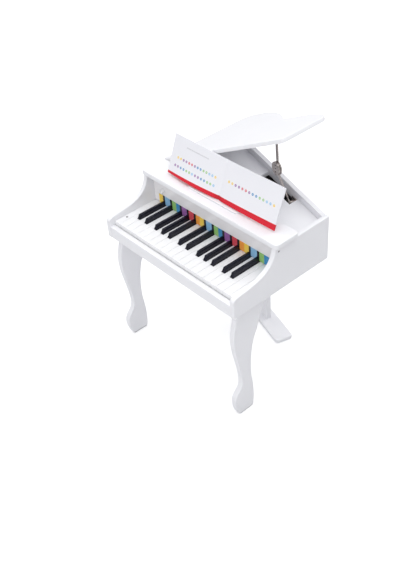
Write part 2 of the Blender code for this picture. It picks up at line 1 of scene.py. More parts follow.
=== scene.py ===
# %% [markdown]
# # A child's grand piano, dressed in paint, plastic, nickel and paper
#
# The piano is already built as a set of plain solids that fit and move. This lesson gives each
# of them its real surface: boards with rounded edges under white paint, moulded keys, a strip of
# coloured labels, a song book, and a nickel-plated stay that holds the lid up. Nothing is moved
# or resized. Every new piece is worked out from the box of the solid it stands for.
#
# All lengths are metres. +X is the player's right, +Y runs to the tail and +Z is up.

# %% Load the fixed frame
import json
import math

import bpy
import numpy as np
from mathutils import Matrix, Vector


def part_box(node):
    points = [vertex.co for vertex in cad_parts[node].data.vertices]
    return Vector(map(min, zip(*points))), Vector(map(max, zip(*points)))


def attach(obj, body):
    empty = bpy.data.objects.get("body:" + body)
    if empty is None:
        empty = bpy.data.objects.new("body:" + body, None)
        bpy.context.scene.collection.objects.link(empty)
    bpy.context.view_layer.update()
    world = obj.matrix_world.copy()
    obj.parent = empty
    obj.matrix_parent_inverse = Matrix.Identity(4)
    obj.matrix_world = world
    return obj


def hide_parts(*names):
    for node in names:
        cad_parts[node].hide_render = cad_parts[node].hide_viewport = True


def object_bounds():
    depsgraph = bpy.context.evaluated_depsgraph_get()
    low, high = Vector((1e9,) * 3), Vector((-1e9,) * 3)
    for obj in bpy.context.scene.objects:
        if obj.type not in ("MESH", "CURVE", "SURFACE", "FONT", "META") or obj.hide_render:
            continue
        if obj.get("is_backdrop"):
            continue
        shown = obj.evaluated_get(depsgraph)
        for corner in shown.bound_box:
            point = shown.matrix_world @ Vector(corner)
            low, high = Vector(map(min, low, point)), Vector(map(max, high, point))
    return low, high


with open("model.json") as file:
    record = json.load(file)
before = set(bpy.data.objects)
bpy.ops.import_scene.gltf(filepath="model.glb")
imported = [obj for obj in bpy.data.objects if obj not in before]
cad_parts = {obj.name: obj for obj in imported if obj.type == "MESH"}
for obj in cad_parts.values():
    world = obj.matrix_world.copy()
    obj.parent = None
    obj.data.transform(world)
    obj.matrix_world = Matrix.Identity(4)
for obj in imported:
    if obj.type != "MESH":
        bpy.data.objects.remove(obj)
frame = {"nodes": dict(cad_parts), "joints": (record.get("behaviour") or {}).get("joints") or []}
cad_box = [list(corner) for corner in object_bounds()]
nodes = frame["nodes"]
joints = {joint["name"]: joint for joint in frame["joints"]}
MM = 0.001
FLUSH = 0.01 * MM
print(f"{len(nodes)} solids, {len(joints)} joints")

# %% [markdown]
# ## Reading sizes from the solids
#
# A board's thickness or a key's width is never typed in again here. `edges_of` gives the lowest
# and highest corner of a solid, and `points_of` gives all its points, which is enough to find the
# outline of a board that isn't a plain rectangle.


# %% Measure the solids
def edges_of(node):
    """The lowest and highest corner of a solid, as two arrays."""
    low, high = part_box(node)
    return np.array(low), np.array(high)


def points_of(node):
    """Every point of a solid, once each."""
    mesh = nodes[node].data
    flat = np.empty(len(mesh.vertices) * 3)
    mesh.vertices.foreach_get("co", flat)
    return np.unique(flat.reshape(-1, 3).round(6), axis=0)

# %% [markdown]
# ## From arrays to meshes
#
# Every piece below is one or more closed shells, and each shell is a stack of rings: closed
# loops with the same number of points. Neighbouring rings are joined by four-sided faces, and
# the first and last ring are closed by one face each. The whole index table is made at once from
# `np.arange`, so there is no loop over points. A shell is a plain (points, faces) pair, and `piece`
# joins several of them into one object.


# %% Rings, shells and pieces
SHARP_FROM = math.radians(38)


def shell_from_rings(rings):
    """rings[i, j] is point j of ring i. Faces join ring i to ring i + 1, and both ends are capped."""
    count, around = rings.shape[:2]
    index = np.arange(count * around).reshape(count, around)
    following = np.roll(index, -1, axis=1)
    sides = np.stack([index[:-1], following[:-1], following[1:], index[1:]], axis=-1)
    faces = sides.reshape(-1, 4).tolist()
    faces.append(index[0, ::-1].tolist())
    faces.append(index[-1].tolist())
    return rings.reshape(-1, 3), faces


def signed_volume(points, faces):
    """Six times the volume inside a shell: it is negative where the faces look inwards."""
    total = 0.0
    for face in faces:
        corner = points[face]
        total += (np.cross(corner[1:-1], corner[2:]) @ corner[0]).sum()
    return total


def piece(name, shells, material, body, stands_for=()):
    """Joins shells into one object at the origin, which rides on a body."""
    points, faces, start = [], [], 0
    for shell_points, shell_faces in shells:
        if signed_volume(shell_points, shell_faces) < 0:
            shell_faces = [face[::-1] for face in shell_faces]
        points.append(shell_points)
        faces += [[start + corner for corner in face] for face in shell_faces]
        start += len(shell_points)
    mesh = bpy.data.meshes.new(name)
    mesh.from_pydata(np.concatenate(points), [], faces)
    mesh.materials.append(material)
    mesh.shade_smooth()
    mesh.set_sharp_from_angle(angle=SHARP_FROM)
    made = bpy.data.objects.new(name, mesh)
    bpy.context.collection.objects.link(made)
    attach(made, body)
    if stands_for:
        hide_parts(*stands_for)
    return made


# %% [markdown]
# ## A lay: the way a board faces
#
# The same board code serves a lid, a wall and a key, because each board is drawn in its own three
# directions: two along its face and the third through its thickness. A lay is that set, with the
# point it starts from. The lid's lay turns with the lid, and the wall's lay turns with the slanted
# back wall, whose direction is read from the joint of the stay that lies along it.

# %% The lays of the boards
hinge = joints["lid_hinge"]
lid_pivot = np.array(hinge["pos_m"])
lid_angle = -math.radians(hinge["range_deg"][0])
sine, cosine = math.sin(lid_angle), math.cos(lid_angle)
opened = np.array([[cosine, 0, sine], [0, 1, 0], [-sine, 0, cosine]])
toward_player = np.array(joints["stay_lower_turn"]["axis"])
up = np.array([0.0, 0.0, 1.0])

FLAT = (np.zeros(3), np.eye(3))
SIDE = (np.zeros(3), np.array([[0, 1, 0], [0, 0, 1], [1, 0, 0]], float))
FRONT = (np.zeros(3), np.array([[1, 0, 0], [0, 0, 1], [0, -1, 0]], float))
WALL = (np.zeros(3), np.array([np.cross(up, toward_player), up, toward_player]))
LID = (lid_pivot, opened)
print("lid open by", round(math.degrees(lid_angle), 1), "degrees")


# %% Outlines and sizes in a lay
def in_lay(points, lay):
    return (points - lay[0]) @ lay[1].T


def from_lay(points, lay):
    return np.asarray(points) @ lay[1] + lay[0]


def span_of(node, lay=FLAT):
    """Lowest and highest corner of a solid, measured along the lay's directions."""
    local = in_lay(points_of(node), lay)
    return local.min(axis=0), local.max(axis=0)


def loop_of(node, lay, level):
    """The outline of a solid's flat face at one level of the lay's third direction.

    Two triangles share each inner edge of that face, so the edges that occur only once are its
    outline, and following them from end to end puts its points in order.
    """
    mesh = nodes[node].data
    points = np.empty(len(mesh.vertices) * 3)
    mesh.vertices.foreach_get("co", points)
    points, same = np.unique(points.reshape(-1, 3).round(6), axis=0, return_inverse=True)
    points = in_lay(points, lay)
    mesh.calc_loop_triangles()
    corners = np.empty(len(mesh.loop_triangles) * 3, np.int32)
    mesh.loop_triangles.foreach_get("vertices", corners)
    triangles = same.reshape(-1)[corners].reshape(-1, 3)
    flat = triangles[(np.abs(points[triangles][:, :, 2] - level) < 2e-5).all(axis=1)]
    ends = np.concatenate([flat[:, [0, 1]], flat[:, [1, 2]], flat[:, [2, 0]]])
    _, where, count = np.unique(np.sort(ends, axis=1), axis=0, return_inverse=True, return_counts=True)
    outer = ends[count[where.reshape(-1)] == 1]
    following = dict(outer.tolist())
    loop = [min(following)]
    while following[loop[-1]] != loop[0]:
        loop.append(following[loop[-1]])
    return without_spare_points(points[loop][:, :2])


def without_spare_points(outline):
    """Drops points that repeat the one before them or lie on a straight edge."""
    outline = outline[np.linalg.norm(outline - np.roll(outline, 1, axis=0), axis=1) > 2e-5]
    back = outline - np.roll(outline, 1, axis=0)
    ahead = np.roll(outline, -1, axis=0) - outline
    turn = np.abs(back[:, 0] * ahead[:, 1] - back[:, 1] * ahead[:, 0])
    lengths = np.linalg.norm(back, axis=1) * np.linalg.norm(ahead, axis=1)
    return outline[turn / lengths > 0.003]


# %% [markdown]
# ## A board with rounded edges
#
# The case is cut from painted board, and every edge is eased with a router and a coat of paint,
# so no edge is sharp. A plain prism would look like paper. A Bevel modifier would do, but the
# same shape is only a few rings: the outline is drawn in on the end faces, and a quarter circle
# leads down to the full outline. `inset` moves each point of the outline along the bisector of
# its two edges. One more ring inside each face keeps that face's shading flat.


# %% Board helper
def headings(outline):
    """Unit directions of the edge before and the edge after each point, and their lengths."""
    back = outline - np.roll(outline, 1, axis=0)
    ahead = np.roll(outline, -1, axis=0) - outline
    long_back = np.linalg.norm(back, axis=1, keepdims=True)
    long_ahead = np.linalg.norm(ahead, axis=1, keepdims=True)
    return back / long_back, ahead / long_ahead, long_back, long_ahead


def inset(outline, distance):
    """Moves a closed outline inwards, so that each edge moves in by distance."""
    back, ahead, _, _ = headings(outline)
    normal_back = np.stack([-back[:, 1], back[:, 0]], axis=1)
    normal_ahead = np.stack([-ahead[:, 1], ahead[:, 0]], axis=1)
    bisector = normal_back + normal_ahead
    scale = 1 + np.einsum("ij,ij->i", normal_back, normal_ahead)
    return outline + distance * bisector / np.maximum(scale, 0.35)[:, None]


def anticlockwise(outline):
    x, y = outline.T
    area = np.sum(x * np.roll(y, -1) - y * np.roll(x, -1))
    return outline if area > 0 else outline[::-1]


def sharp_points(back, ahead):
    return np.einsum("ij,ij->i", back, ahead) < math.cos(math.radians(25))


def smooth_runs(outline):
    """Bends the edges between gentle corners, and leaves sharp corners where they are.

    Each edge is a cubic. At a gentle corner its slope is the direction from the point before to
    the point after, and at a sharp one it is the edge's own.
    """
    back, ahead, _, length = headings(outline)
    sharp = sharp_points(back, ahead)[:, None]
    chord = np.roll(outline, -1, axis=0) - np.roll(outline, 1, axis=0)
    chord /= np.linalg.norm(chord, axis=1, keepdims=True)
    leave = np.where(sharp, ahead, chord)
    arrive = np.roll(np.where(sharp, back, chord), -1, axis=0)
    straight = np.minimum(np.einsum("ij,ij->i", leave, ahead), np.einsum("ij,ij->i", arrive, ahead))
    bent = (straight < 0.9995)[:, None] & (length > 2.5 * MM)
    t = np.linspace(0, 1, 4)[:-1][None, :, None]
    first, last = outline[:, None], np.roll(outline, -1, axis=0)[:, None]
    leave, arrive = (length * leave)[:, None], (length * arrive)[:, None]
    curve = (2 * t**3 - 3 * t**2 + 1) * first + (t**3 - 2 * t**2 + t) * leave
    curve = curve + (3 * t**2 - 2 * t**3) * last + (t**3 - t**2) * arrive
    return curve[bent | (np.arange(3) == 0)]


def rounded(outline, sharp, reach, steps):
    """Turns each sharp corner into a quadratic curve that starts and ends at reach from it."""
    back, ahead, _, _ = headings(outline)
    t = np.linspace(0, 1, steps + 1)[None, :, None]
    start = (outline - back * reach[:, None])[:, None]
    end = (outline + ahead * reach[:, None])[:, None]
    curve = (1 - t) ** 2 * start + 2 * t * (1 - t) * outline[:, None] + t**2 * end
    return curve[sharp[:, None] | (np.arange(steps + 1) == 0)]


def board_shell(outline, low, high, edge, lay=FLAT, steps=4, low_edge=None, corner=0.3 * MM):
    """A board: outline in its first two directions, from low to high in the third.

    Each edge is a quarter circle of radius edge: at angle a the outline is drawn in by
    edge * (1 - cos a) and lies edge * (1 - sin a) inside the face. A corner of the outline is
    rounded after it is drawn in, by as much less as the drawing in takes away.
    """
    outline = smooth_runs(anticlockwise(np.asarray(outline, float)))
    back, ahead, long_back, long_ahead = headings(outline)
    sharp = sharp_points(back, ahead)
    turn = back[:, 0] * ahead[:, 1] - back[:, 1] * ahead[:, 0]
    half_tangent = turn / (1 + np.einsum("ij,ij->i", back, ahead))
    room = 0.45 * np.minimum(long_back, long_ahead)[:, 0]
    low_edge = edge if low_edge is None else low_edge
    angle = np.linspace(np.pi / 2, 0, steps + 1)
    draw_in = 1 - np.cos(angle)
    depth = 1 - np.sin(angle)
    hold = 0.15 * MM
    levels = [(low_edge + hold, low)]
    levels += [(low_edge * a, low + low_edge * b) for a, b in zip(draw_in, depth)]
    levels += [(edge * a, high - edge * b) for a, b in zip(draw_in[::-1], depth[::-1])]
    levels += [(edge + hold, high)]
    rings = []
    for distance, level in levels:
        reach = np.maximum(np.minimum(corner, room) - distance * half_tangent, 0.04 * MM) * sharp
        ring = rounded(inset(outline, distance), sharp, reach, steps)
        rings.append(np.column_stack([ring, np.full(len(ring), level)]))
    points, faces = shell_from_rings(np.array(rings))
    return from_lay(points, lay), faces


def rectangle(low, high):
    return np.array([[low[0], low[1]], [high[0], low[1]], [high[0], high[1]], [low[0], high[1]]])


# %% [markdown]
# ## Turned pieces
#
# Knobs, screws, discs and pins are turned: a profile of (radius, height) pairs goes round an axis.
# Point j of ring i is at radius_i and angle 2 pi j / steps. The profile starts and ends at a small
# radius, and the caps close it there.


# %% Lathe helper
def frame_of(axis):
    """Three directions at right angles, the last of them along axis."""
    axis = np.asarray(axis, float) / np.linalg.norm(axis)
    side = np.array([0, 0, 1.0]) if abs(axis[2]) < 0.9 else np.array([1.0, 0, 0])
    first = np.cross(side, axis)
    first /= np.linalg.norm(first)
    return np.array([first, np.cross(axis, first), axis])


def turned_shell(profile, centre, axis, steps=32):
    radius, height = np.asarray(profile, float).T
    angle = np.linspace(0, 2 * np.pi, steps, endpoint=False)
    heights = np.repeat(height[:, None], steps, axis=1)
    rings = np.stack([np.outer(radius, np.cos(angle)), np.outer(radius, np.sin(angle)), heights], axis=-1)
    points, faces = shell_from_rings(rings)
    return points @ frame_of(axis) + np.asarray(centre, float), faces


# %% [markdown]
# ## Nodes for materials
#
# A material here is a small graph. `Graph` keeps the code short: `graph.add` makes a node, sets its
# values by name and links what is given as another node's output.


# %% Material helper
class Graph:
    """Adds nodes to a node tree. A value that is a socket is linked, and any other is set."""

    def __init__(self, tree):
        self.tree = tree

    def add(self, kind, settings=None, **values):
        made = self.tree.nodes.new(kind)
        for name, value in (settings or {}).items():
            setattr(made, name, value)
        for name, value in values.items():
            key = int(name[1:]) if name[0] == "i" and name[1:].isdigit() else name.replace("_", " ")
            self.give(made.inputs[key], value)
        return made

    def give(self, socket, value):
        if isinstance(value, bpy.types.NodeSocket):
            self.tree.links.new(value, socket)
        else:
            socket.default_value = value

    def math(self, operation, *values):
        named = {f"i{i}": value for i, value in enumerate(values)}
        return self.add("ShaderNodeMath", {"operation": operation}, **named).outputs[0]

    def noise(self, where, scale, detail=2.0, roughness=0.5):
        made = self.add("ShaderNodeTexNoise", Vector=where, Scale=scale, Detail=detail, Roughness=roughness)
        return made.outputs["Fac"]

    def spread(self, value, low, high):
        """Carries a value from 0..1 to low..high."""
        made = self.add("ShaderNodeMapRange", Value=value, To_Min=low, To_Max=high)
        return made.outputs["Result"]

    def blend(self, factor, first, second):
        """Mixes two colours. The colour sockets of a Mix node are inputs 6 and 7 and output 2."""
        made = self.add("ShaderNodeMix", {"data_type": "RGBA"}, Factor=factor)
        for place, value in ((6, first), (7, second)):
            self.give(made.inputs[place], (*value, 1) if isinstance(value, tuple) else value)
        return made.outputs[2]

    def bump(self, height, strength, distance, normal=None):
        values = {"Height": height, "Strength": strength, "Distance": distance}
        if normal is not None:
            values["Normal"] = normal
        return self.add("ShaderNodeBump", **values).outputs["Normal"]

    def place(self):
        return self.add("ShaderNodeTexCoord").outputs["Object"]


def new_material(name, **constants):
    """A material with a Principled shader: returns it, its graph and its shader."""
    made = bpy.data.materials.new(name)
    made.use_nodes = True
    shader = made.node_tree.nodes["Principled BSDF"]
    for key, value in constants.items():
        shader.inputs[key.replace("_", " ")].default_value = value
    return made, Graph(made.node_tree), shader


def connect(graph, shader, **sockets):
    for key, socket in sockets.items():
        graph.tree.links.new(socket, shader.inputs[key.replace("_", " ")])


# %% [markdown]
# ## A shared effect: the skin of a sprayed or moulded surface
#
# No real surface is quite even. Sprayed paint dries with a faint orange peel and moulded plastic
# has a soft waviness; both are a broad unevenness in gloss and a fine one in height. A node group
# makes that once: colour varies a little between two tints, and roughness between two limits.


# %% Node group "uneven skin"
def make_skin_group():
    group = bpy.data.node_groups.new("uneven skin", "ShaderNodeTree")
    sockets = [("INPUT", "Vector", "Vector"), ("INPUT", "Color", "Light Tint"), ("INPUT", "Color", "Dark Tint")]
    for name in ("Smoothest", "Roughest", "Patch Scale", "Grain Scale", "Grain Height"):
        sockets.append(("INPUT", "Float", name))
    sockets += [("OUTPUT", "Color", "Color"), ("OUTPUT", "Float", "Roughness"), ("OUTPUT", "Vector", "Normal")]
    for side, kind, name in sockets:
        group.interface.new_socket(name=name, in_out=side, socket_type=f"NodeSocket{kind}")
    graph = Graph(group)
    given = graph.add("NodeGroupInput").outputs
    patches = graph.noise(given["Vector"], given["Patch Scale"], 3.0, 0.55)
    grain = graph.noise(given["Vector"], given["Grain Scale"], 3.0, 0.6)
    tint = graph.blend(patches, given["Light Tint"], given["Dark Tint"])
    gloss = graph.add(
        "ShaderNodeMapRange", Value=patches, To_Min=given["Smoothest"], To_Max=given["Roughest"]
    )
    normal = graph.bump(grain, 0.6, given["Grain Height"])
    result = graph.add("NodeGroupOutput")
    group.links.new(tint, result.inputs["Color"])
    group.links.new(gloss.outputs["Result"], result.inputs["Roughness"])
    group.links.new(normal, result.inputs["Normal"])
    return group


skin_group = make_skin_group()


def skin_material(name, light, dark, gloss, patch=9.0, grain=700.0, height=0.00003, **constants):
    """A material whose colour, gloss and fine relief come from the uneven skin."""
    made, graph, shader = new_material(name, **constants)
    skin = graph.add(
        "ShaderNodeGroup",
        {"node_tree": skin_group},
        Vector=graph.place(),
        Light_Tint=(*light, 1),
        Dark_Tint=(*dark, 1),
        Smoothest=gloss[0],
        Roughest=gloss[1],
        Patch_Scale=patch,
        Grain_Scale=grain,
        Grain_Height=height,
    )
    colour, rough, normal = skin.outputs
    connect(graph, shader, Base_Color=colour, Roughness=rough, Normal=normal)
    return made


# %% [markdown]
# ## The finishes
#
# White satin paint covers all the boards. The board behind the keys is glossier, as it is lacquered
# once more, and its white is painted a little lighter than the other boards as painted light, where
# the top board above it shades it. Keys are white and blue-black plastic, metal parts are
# nickel-plated, and the inside of the case holds dark plastic, rubber and a green circuit board.

# %% Paint, plastic and metal
white_paint = skin_material(
    "white_paint", (0.86, 0.86, 0.885), (0.83, 0.83, 0.86), (0.34, 0.48),
    Coat_Weight=0.15, Coat_Roughness=0.25,
)
# Painted light: this white is lighter than the other boards' white, to stand in for light under the top board's
# overhang; the higher gloss and coat are the lacquer.
fascia_lacquer_and_painted_light = skin_material(
    "fascia_lacquer_and_painted_light", (0.90, 0.885, 0.90), (0.87, 0.855, 0.87), (0.16, 0.26),
    Coat_Weight=0.6, Coat_Roughness=0.08,
)
key_white = skin_material(
    "key_white", (0.88, 0.88, 0.89), (0.86, 0.86, 0.875), (0.20, 0.30),
    grain=400.0, height=0.00001, Coat_Weight=0.3,
)
key_black = skin_material(
    "key_black", (0.0045, 0.005, 0.016), (0.003, 0.0035, 0.010), (0.16, 0.28),
    grain=500.0, height=0.00002, Specular_IOR_Level=0.35,
)
nickel = skin_material(
    "nickel", (0.60, 0.545, 0.515), (0.47, 0.425, 0.40), (0.16, 0.34),
    patch=60.0, grain=1500.0, height=0.00001, Metallic=1.0,
)
screw_zinc = skin_material(
    "screw_zinc", (0.42, 0.41, 0.41), (0.30, 0.29, 0.29), (0.25, 0.45),
    patch=300.0, grain=3000.0, Metallic=1.0,
)
dark_plastic = skin_material(
    "dark_plastic", (0.055, 0.055, 0.06), (0.04, 0.04, 0.045), (0.42, 0.6), grain=900.0
)
grey_rubber = skin_material(
    "grey_rubber", (0.24, 0.24, 0.25), (0.18, 0.18, 0.19), (0.7, 0.85), grain=1200.0
)
board_green = skin_material(
    "circuit_green", (0.03, 0.17, 0.08), (0.02, 0.12, 0.06), (0.25, 0.4), patch=40.0
)
# Painted shade: a near-black sheet for the inside of the case under the stay's slot.
slot_shade_black = skin_material(
    "slot_shade_black", (0.018, 0.014, 0.016), (0.010, 0.008, 0.009), (0.9, 1.0), patch=80.0, grain=2500.0
)
# Painted shade: near-black for the screws' cross recesses and the hub's holes, where there is only shade; the
# knob's pointer uses it as its own dark colour.
shade_and_pointer_dark = skin_material(
    "shade_and_pointer_dark", (0.035, 0.03, 0.035), (0.02, 0.018, 0.02), (0.6, 0.8), patch=200.0
)
print(len(bpy.data.materials), "materials so far")

# %% [markdown]
# ## Boards of the case
#
# Side panels, back wall, rail, deck, lid, legs and foot plate are all cut from board. `dress_board`
# reads the outline and thickness of a solid in a given lay, rounds it over and replaces the solid.
# Corners get the radius that a jigsaw and sandpaper leave. Edges that a hand meets are rounded by
# about 2 mm, and edges that butt against another board hardly at all.


# %% Dress the boards
def dress_board(node, lay, edge, corner, body="case"):
    """Replaces one solid by the same board with rounded corners and eased edges."""
    low, high = span_of(node, lay)
    shell = board_shell(loop_of(node, lay, high[2]), low[2], high[2], edge, lay, corner=corner)
    piece(f"{node}_board", [shell], white_paint, body, [node])


for side in ("left", "right"):
    dress_board(f"side_panel_{side}", SIDE, 2.2 * MM, 2.5 * MM)
dress_board("back_wall", FLAT, 1.2 * MM, 0.4 * MM)
dress_board("top_board", FLAT, 2.2 * MM, 4 * MM)
dress_board("front_rail", FRONT, 1.2 * MM, 0.4 * MM)
dress_board("lid", LID, 1.4 * MM, 2.4 * MM, body="lid")
dress_board("rear_foot", FLAT, 2.0 * MM, 8 * MM)
dress_board("rear_post", FLAT, 0.4 * MM, 2.2 * MM)

# %% [markdown]
# ## Legs on felt feet
#
# Each front leg is one curved board. The bottom 2 mm of the solid stands for a felt pad, so the
# board's outline is lifted to there and the pad fills the rest.

# %% Front legs and their pads
PAD = 2.0 * MM
PAD_MARGIN = 1.2 * MM
felt = skin_material(
    "felt", (0.20, 0.20, 0.205), (0.13, 0.13, 0.135), (0.9, 1.0), patch=80.0, grain=2500.0
)
for side in ("left", "right"):
    node = f"front_leg_{side}"
    low, high = span_of(node, SIDE)
    outline = loop_of(node, SIDE, high[2])
    foot = outline[outline[:, 1] < FLUSH][:, 0]
    outline[:, 1] = np.maximum(outline[:, 1], PAD)
    shell = board_shell(outline, low[2], high[2], 2.0 * MM, SIDE, corner=3 * MM)
    piece(f"{node}_board", [shell], white_paint, "case", [node])
    pad_low = (low[2] + PAD_MARGIN, foot.min() + PAD_MARGIN)
    pad_high = (high[2] - PAD_MARGIN, foot.max() - PAD_MARGIN)
    pad = board_shell(rectangle(pad_low, pad_high), 0.0, PAD, 0.3 * MM, corner=3 * MM)
    piece(f"{node}_pad", [pad], felt, "case")

# %% [markdown]
# ## The deck and the board behind the keys
#
# The deck is sunk below the rim, with a slot cut out for the folding stay, and a batten closes the
# step up to the top board. Under the slot a black sheet on the back wall is painted shade, so that
# the inside of the case reads dark through the slot. The board behind the keys is lacquered and
# painted a little lighter as painted light, with the volume knob at its left.

# %% Deck, batten and fascia
low, high = span_of("sound_deck")
points = points_of("sound_deck")
deck_top = np.unique(points[:, 2].round(4))
deck_top = deck_top[deck_top < low[2] + 0.0125].max()
deck = board_shell(loop_of("sound_deck", FLAT, low[2]), low[2], deck_top, 0.5 * MM)
raised = points[points[:, 2] > deck_top + 1 * MM]
batten = board_shell(
    rectangle(raised.min(axis=0), raised.max(axis=0)), deck_top - 1 * MM, high[2], 0.5 * MM
)
piece("sound_deck_board", [deck, batten], white_paint, "case", ["sound_deck"])

# Painted shade: a black sheet on the back wall's inner face under the slot makes the inside of the case read
# dark through it.
inner_face = span_of("back_wall", WALL)[1][2]
slot = loop_of("sound_deck", FLAT, low[2])
shade_sheet_top = low[2] - 0.5 * MM
shade_sheet_low = span_of("bottom_board")[1][2] + 0.5 * MM
ends = in_lay(np.column_stack([slot, np.zeros(len(slot))]), WALL)
near_wall = ends[np.abs(ends[:, 2] - inner_face) < 2 * MM][:, 0]
shade_sheet = board_shell(
    rectangle((near_wall.min() + 2 * MM, shade_sheet_low), (near_wall.max() - 2 * MM, shade_sheet_top)),
    inner_face + 0.3 * MM, inner_face + 0.9 * MM, 0.2 * MM, WALL, 1,
)
piece("stay_well_painted_shade", [shade_sheet], slot_shade_black, "case")

low, high = span_of("fascia_board", FRONT)
fascia = board_shell(rectangle(low, high), low[2], high[2], 0.6 * MM, FRONT)
piece("fascia_board_lacquered", [fascia], fascia_lacquer_and_painted_light, "case", ["fascia_board"])

# %% [markdown]
# ## White keys
#
# A white key is a moulded block with a slim step beside each black key. Its plan is read from the
# upper face of the solid, and the upper edges get a fine 0.7 mm round so that each key catches a
# line of light. The unevenness differs from key to key because it follows the place in space.

# %% White keys
white_keys = sorted(node for node in nodes if node.startswith("white_key_"))
for node in white_keys:
    low, high = span_of(node)
    outline = loop_of(node, FLAT, high[2])
    shell = board_shell(outline, low[2], high[2], 0.7 * MM, steps=3, low_edge=0.2 * MM, corner=0.8 * MM)
    piece(f"{node}_moulding", [shell], key_white, node, [node])
print(len(white_keys), "white keys")

# %% [markdown]
# ## Black keys
#
# A black key is a bar whose section is a block that narrows upwards, with rounded shoulders. Along
# the bar the height of the section changes: it climbs the sloped tip, stays level, and drops to the
# low tail that runs under the fascia. So one function gives the height at each station, and the
# section is scaled between the tail level and that height.


# %% Black keys
TIP_LENGTH = 5.5 * MM
SHOULDER_RADIUS = 1.3 * MM
TAIL_BELOW_KEYS = 0.5 * MM


def black_key_rings(low, high, tail_level, cap_back, top_share):
    """rings[i, j]: section point j at station i along Y. Height(y) climbs along the tip."""
    front, back = low[1], high[1]
    slope = TIP_LENGTH
    climb = np.array([0, 0.02, 0.25, 0.5, 0.75, 0.92, 1.0])
    stations = np.concatenate([front + slope * climb, [front + 2 * slope, cap_back - 0.4 * MM, cap_back]])
    rise = np.clip((stations - front) / slope, 0, 1)
    share = 0.12 + 0.88 * (rise - 0.06 * np.sin(np.pi * rise) * (rise > 0.5))
    top = tail_level + (high[2] - tail_level) * share
    top[-1] -= 0.5 * MM
    stations = np.concatenate([stations, [cap_back + 0.02 * MM, back]])
    top = np.concatenate([top, [tail_level + 0.02 * MM, tail_level]])

    half = (high[0] - low[0]) / 2
    centre = (high[0] + low[0]) / 2
    shoulder = np.linspace(0, np.pi / 2, 5)
    full = high[2] - tail_level
    across = half * top_share - SHOULDER_RADIUS * (1 - np.cos(shoulder))
    level = full - SHOULDER_RADIUS * (1 - np.sin(shoulder))
    right = np.column_stack([across, level / full])
    section = np.concatenate([[[half, 0.0]], right, right[::-1] * [-1, 1], [[-half, 0.0]]])
    height = np.outer(top - tail_level, section[:, 1]) + tail_level
    rings = np.empty((len(stations), len(section) + 2, 3))
    rings[:, 1:-1, 0] = centre + section[:, 0]
    rings[:, 1:-1, 2] = height
    rings[:, [0, -1], 0] = centre + np.array([half, -half])
    rings[:, [0, -1], 2] = low[2]
    rings[:, :, 1] = stations[:, None]
    return rings


black_keys = sorted(node for node in nodes if node.startswith("black_key_"))
tail_level = span_of(white_keys[0])[1][2] - TAIL_BELOW_KEYS
for node in black_keys:
    low, high = span_of(node)
    points = points_of(node)
    on_top = points[points[:, 2] > high[2] - FLUSH]
    top_share = np.ptp(on_top[:, 0]) / (high[0] - low[0])
    rings = black_key_rings(low, high, tail_level, on_top[:, 1].max(), top_share)
    piece(f"{node}_moulding", [shell_from_rings(rings)], key_black, node, [node])
print(len(black_keys), "black keys")

# %% [markdown]
# ## Key frame and screws
#
# The tray that carries the keys shows as a thin lip behind the rail, and at both ends as a flat
# block, level with the white keys and held by a cross-head screw. A screw is a turned dome with two
# dark bars let into it as the cross, whose dark is painted shade of the recess.


# %% Key frame and cross-head screws
CROSS_TURN = 0.4


def screw(name, centre, axis, radius, body):
    """A domed head (height falls with the square of the radius) with a cross painted dark as the shade in its
    recess.
    """
    share = np.linspace(1, 0.02, 7)
    profile = np.column_stack([share, 0.38 * (1 - share**2) + 0.12]) * radius
    profile = np.concatenate([[[0.02 * radius, 0.0], [radius, 0.0]], profile])
    head = turned_shell(profile, centre, axis, 24)
    directions = frame_of(axis)
    cosine, sine = math.cos(CROSS_TURN), math.sin(CROSS_TURN)
    turned = np.array([[cosine, sine, 0], [-sine, cosine, 0], [0, 0, 1]]) @ directions
    lay = (np.asarray(centre, float), turned)
    bars = []
    # The two bars are painted shade: a dark cross standing for the shaded recess.
    for wide, tall, top in ((0.55, 0.12, 0.52), (0.12, 0.55, 0.521)):
        half = np.array([wide, tall]) * radius
        bars.append(board_shell(rectangle(-half, half), 0.3 * radius, top * radius, 0.02 * radius, lay, 1))
    piece(name, [head], screw_zinc, body)
    piece(f"{name}_cross", bars, shade_and_pointer_dark, body)


low, high = span_of("key_frame")
points = points_of("key_frame")
KEY_GAP = 0.7 * MM
keys_low = span_of(white_keys[0])[0][0] - KEY_GAP
keys_high = span_of(white_keys[-1])[1][0] + KEY_GAP
base_top = points[points[:, 2] < low[2] + 5 * MM][:, 2].max()
block_front = points[points[:, 2] > high[2] - FLUSH][:, 1].min()
lip = points[points[:, 1] < block_front - 0.5 * MM]
shells = [board_shell(rectangle(low, high), low[2], base_top, 0.5 * MM)]
lip_outline = rectangle(low, (high[0], lip[:, 1].max()))
shells.append(board_shell(lip_outline, base_top - 1 * MM, lip[:, 2].max(), 0.4 * MM))
for start, end in ((low[0], keys_low), (keys_high, high[0])):
    block = rectangle((start, block_front), (end, high[1]))
    shells.append(board_shell(block, base_top - 1 * MM, high[2], 0.7 * MM, corner=1 * MM))
piece("key_frame_moulding", shells, key_white, "case", ["key_frame"])

SCREW_DEPTH = 32.5 * MM
for name, middle in (("left", (low[0] + keys_low) / 2), ("right", (high[0] + keys_high) / 2)):
    spot = (middle, block_front + SCREW_DEPTH, high[2])
    screw(f"key_frame_screw_{name}", spot, up, 3.0 * MM, "case")

# %% [markdown]
# ## Coloured labels behind the keys
#
# A strip under the fascia gives every white key a colour, the same one for each note of the scale,
# and a black bar behind every black key. On the solid strip this is only print, so it is done in the
# shader: two colour ramps with hard steps, read along X. The first has one stop per white key. The
# second turns to black at each black key, 8 mm wide.

